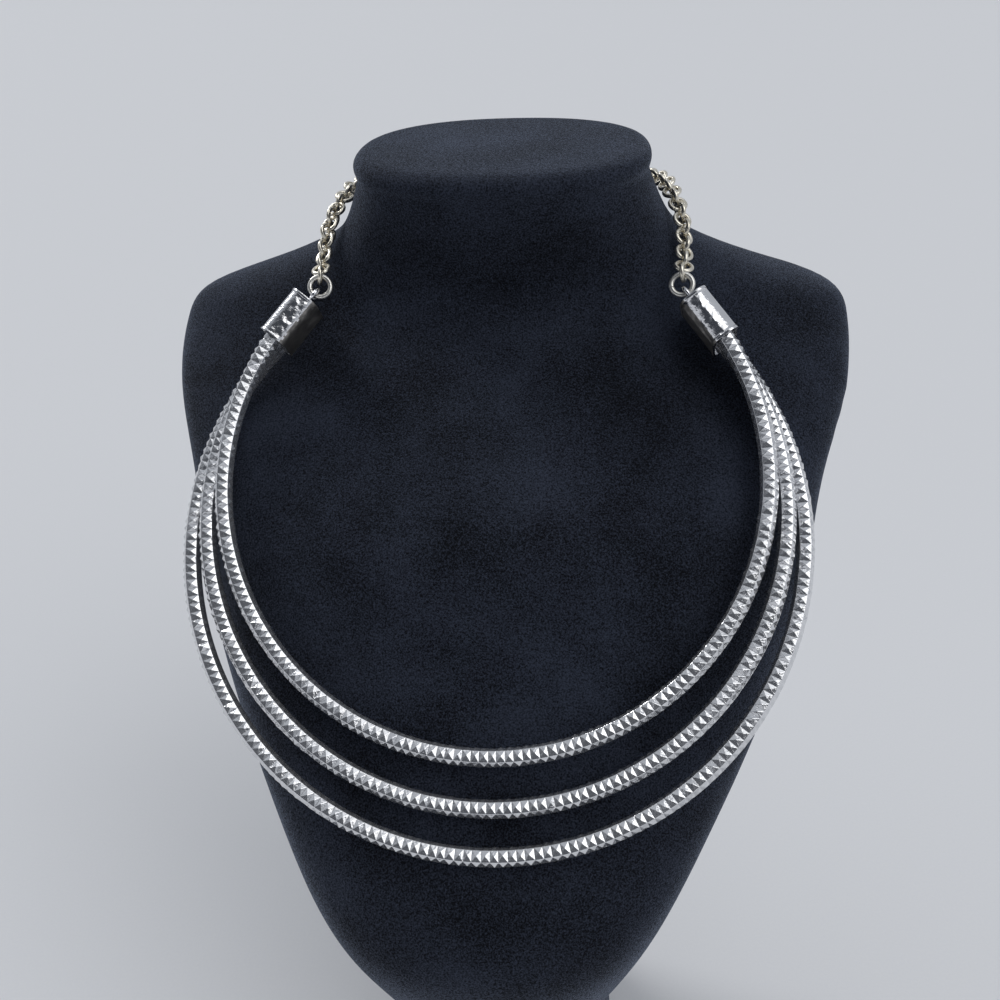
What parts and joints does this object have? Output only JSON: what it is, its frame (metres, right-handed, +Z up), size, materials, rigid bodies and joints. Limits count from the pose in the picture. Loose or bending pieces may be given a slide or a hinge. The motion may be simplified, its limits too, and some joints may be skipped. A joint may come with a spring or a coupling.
{
  "type": "choker on neck bust",
  "caption": "Rigid silver choker of faceted tubes in two square end caps, closed by link chain, on a velvet neck bust.",
  "frame": {"origin": "middle of the bust's flat base, on the surface that it stands on", "axes": "+Z up along the bust, -Y towards the front of the bust and collar, +X to the right of someone who looks at the front"},
  "size_m": [0.2024, 0.1718, 0.2978],
  "materials": {
    "velvet": "short dark velvet pile",
    "silver": "bright polished silver plate",
    "chain_silver": "bright silver plate, slightly warm"
  },
  "bodies": {
    "root": {"bust": "velvet", "collar_inner": "silver", "collar_middle": "silver", "collar_outer": "silver", "cap_right": "silver", "cap_left": "silver", "jump_ring_right": "silver", "jump_ring_left": "silver", "chain_right": "chain_silver", "chain_left": "chain_silver", "clasp": "chain_silver"}
  },
  "joints": []
}
